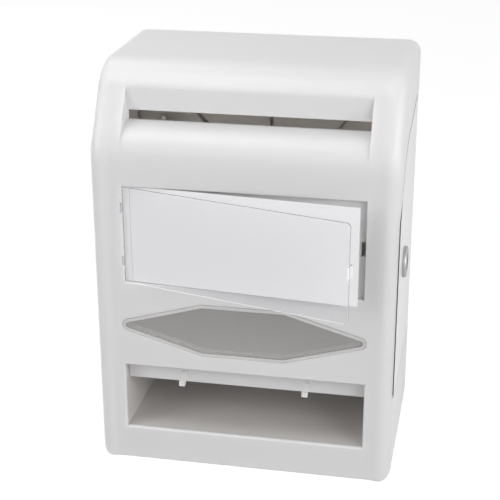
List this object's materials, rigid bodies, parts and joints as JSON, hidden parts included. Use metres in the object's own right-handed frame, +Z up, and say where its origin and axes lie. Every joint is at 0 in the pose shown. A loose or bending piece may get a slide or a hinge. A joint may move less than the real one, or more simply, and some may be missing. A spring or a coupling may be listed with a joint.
{
  "type": "locking ballot box",
  "caption": "White moulded ballot and suggestion box with a paper slot under a rounded brow, a label holder, a view window, an open card pocket and a locking side door.",
  "frame": {"origin": "middle of the housing's base, on the surface it stands on", "axes": "+X to the right side with the door, +Y to the rear, +Z up"},
  "size_m": [0.2432, 0.1933, 0.328],
  "materials": {
    "housing_plastic": "white moulded ABS with a fine satin surface",
    "door_plastic": "white moulded ABS, a little glossier than the housing",
    "smoked_plastic": "grey tinted see-through plastic",
    "clear_plastic": "clear see-through plastic",
    "white_card": "stiff white card, bare",
    "chromed_lock": "chrome plated zinc",
    "wafer_brass": "stamped brass",
    "plated_steel": "zinc plated steel"
  },
  "bodies": {
    "housing": {"front_shell": "housing_plastic", "back_panel": "housing_plastic", "back_panel_screws": "plated_steel", "card_tray": "housing_plastic", "divider_shelf": "housing_plastic", "card_hooks": "clear_plastic", "smoked_window": "smoked_plastic", "door_hinge_pins": "plated_steel"},
    "door": {"side_door": "door_plastic", "lock_housing": "chromed_lock", "lock_nut": "plated_steel"},
    "lock_core": {"lock_plug": "chromed_lock", "lock_wafers": "wafer_brass", "lock_stop_washer": "plated_steel", "lock_cam": "plated_steel", "lock_cam_screw": "plated_steel"},
    "cover": {"label_cover": "clear_plastic"},
    "card": {"label_card": "white_card"}
  },
  "joints": [
    {"name": "door_hinge", "type": "hinge", "parent": "housing", "child": "door", "pos_m": [0.1145, 0.0675, 0.18], "axis": [0, 0, 1], "range_deg": [0, 105]},
    {"name": "lock_turn", "type": "hinge", "parent": "door", "child": "lock_core", "pos_m": [0.12, -0.026, 0.173], "axis": [1, 0, 0], "range_deg": [0, 90]},
    {"name": "cover_swing", "type": "hinge", "parent": "housing", "child": "cover", "pos_m": [-0.0952, -0.072, 0.1975], "axis": [0, 0, -1], "range_deg": [-14.5, 45.5]},
    {"name": "card_swing", "type": "hinge", "parent": "housing", "child": "card", "pos_m": [-0.0885, -0.0691, 0.1975], "axis": [0, 0, -1], "range_deg": [-5.5, 17.3]}
  ],
  "couplings": [
    {"joint": "card_swing", "follows": "cover_swing", "ratio": 0.37931}
  ]
}
